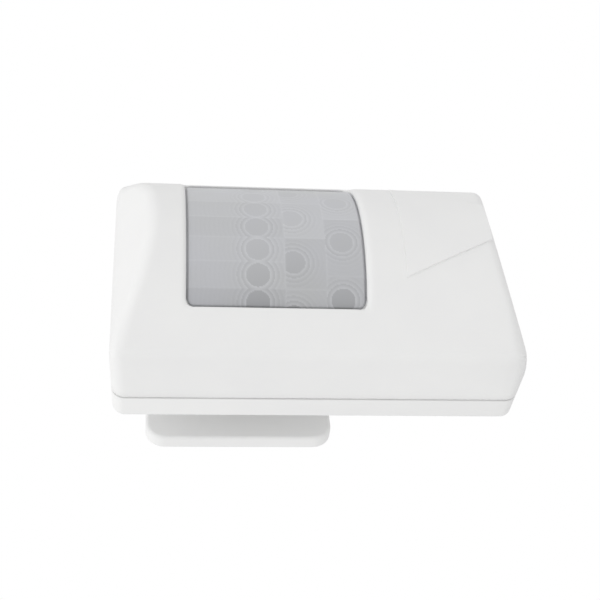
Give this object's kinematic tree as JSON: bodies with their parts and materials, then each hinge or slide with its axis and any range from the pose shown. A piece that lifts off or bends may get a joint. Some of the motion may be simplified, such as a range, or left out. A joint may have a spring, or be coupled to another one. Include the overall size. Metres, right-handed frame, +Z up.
{
  "type": "motion sensor",
  "caption": "Infrared motion sensor: an arched housing with a curved lens window, a lift-off front and a circuit board, on a wall bracket that pans and tilts.",
  "frame": {"origin": "centre of the wall plate's back, on the wall", "axes": "+Z up the wall, the room and the lens towards -Y, +X to the right of someone facing the lens"},
  "size_m": [0.0744, 0.0673, 0.12],
  "materials": {
    "white_plastic": "fine satin moulded plastic",
    "lens_sheet": "milky polyethylene sheet with fine ring grooves",
    "zinc_steel": "bright zinc plating",
    "nickel_can": "drawn and plated",
    "dark_filter": "polished",
    "grey_rubber": "matte",
    "board_laminate": "solder mask over glass laminate",
    "red_resin": "clear tinted",
    "green_plastic": "moulded",
    "blue_plastic": "moulded",
    "black_plastic": "moulded",
    "cream_plastic": "moulded"
  },
  "bodies": {
    "bracket": {"wall_plate": "white_plastic", "pan_screw": "zinc_steel", "pan_nut": "zinc_steel"},
    "knuckle": {"swivel_knuckle": "white_plastic"},
    "head": {"rear_cover": "white_plastic", "tilt_screw": "zinc_steel", "tilt_nut": "zinc_steel", "cable_bung": "grey_rubber", "cover_screws": "zinc_steel", "circuit_board": "board_laminate", "board_screws": "zinc_steel", "pyro_sensor": "nickel_can", "pyro_window": "dark_filter", "led": "red_resin", "terminal_block": "green_plastic", "terminal_screws": "zinc_steel", "relay": "blue_plastic", "tamper_switch": "black_plastic", "range_pot": "blue_plastic", "jumper_header": "black_plastic", "capacitors": "black_plastic", "control_chip": "black_plastic", "resistors": "black_plastic"},
    "front": {"front_cover": "white_plastic", "fresnel_lens": "lens_sheet", "lens_frame": "black_plastic"},
    "plunger": {"tamper_plunger": "cream_plastic"},
    "rotor": {"range_rotor": "cream_plastic"},
    "cap": {"jumper_cap": "blue_plastic"}
  },
  "joints": [
    {"name": "pan", "type": "hinge", "parent": "bracket", "child": "knuckle", "pos_m": [0, -0.0086, 0], "axis": [0, 0, 1], "range_deg": [-15, 15]},
    {"name": "tilt", "type": "hinge", "parent": "knuckle", "child": "head", "pos_m": [0, -0.0161, 0], "axis": [1, 0, 0], "range_deg": [-12, 12]},
    {"name": "cover_off", "type": "slide", "parent": "head", "child": "front", "axis": [0, -1, 0], "range_m": [0, 0.04]},
    {"name": "plunger_rise", "type": "slide", "parent": "head", "child": "plunger", "axis": [0, -1, 0], "range_m": [0, 0.0015]},
    {"name": "range_turn", "type": "hinge", "parent": "head", "child": "rotor", "pos_m": [-0.02, -0.031, -0.045], "axis": [0, -1, 0], "range_deg": [-135, 135]},
    {"name": "cap_pull", "type": "slide", "parent": "head", "child": "cap", "axis": [0, -1, 0], "range_m": [0, 0.008]}
  ],
  "couplings": [
    {"joint": "plunger_rise", "follows": "cover_off", "ratio": 0.0375}
  ]
}
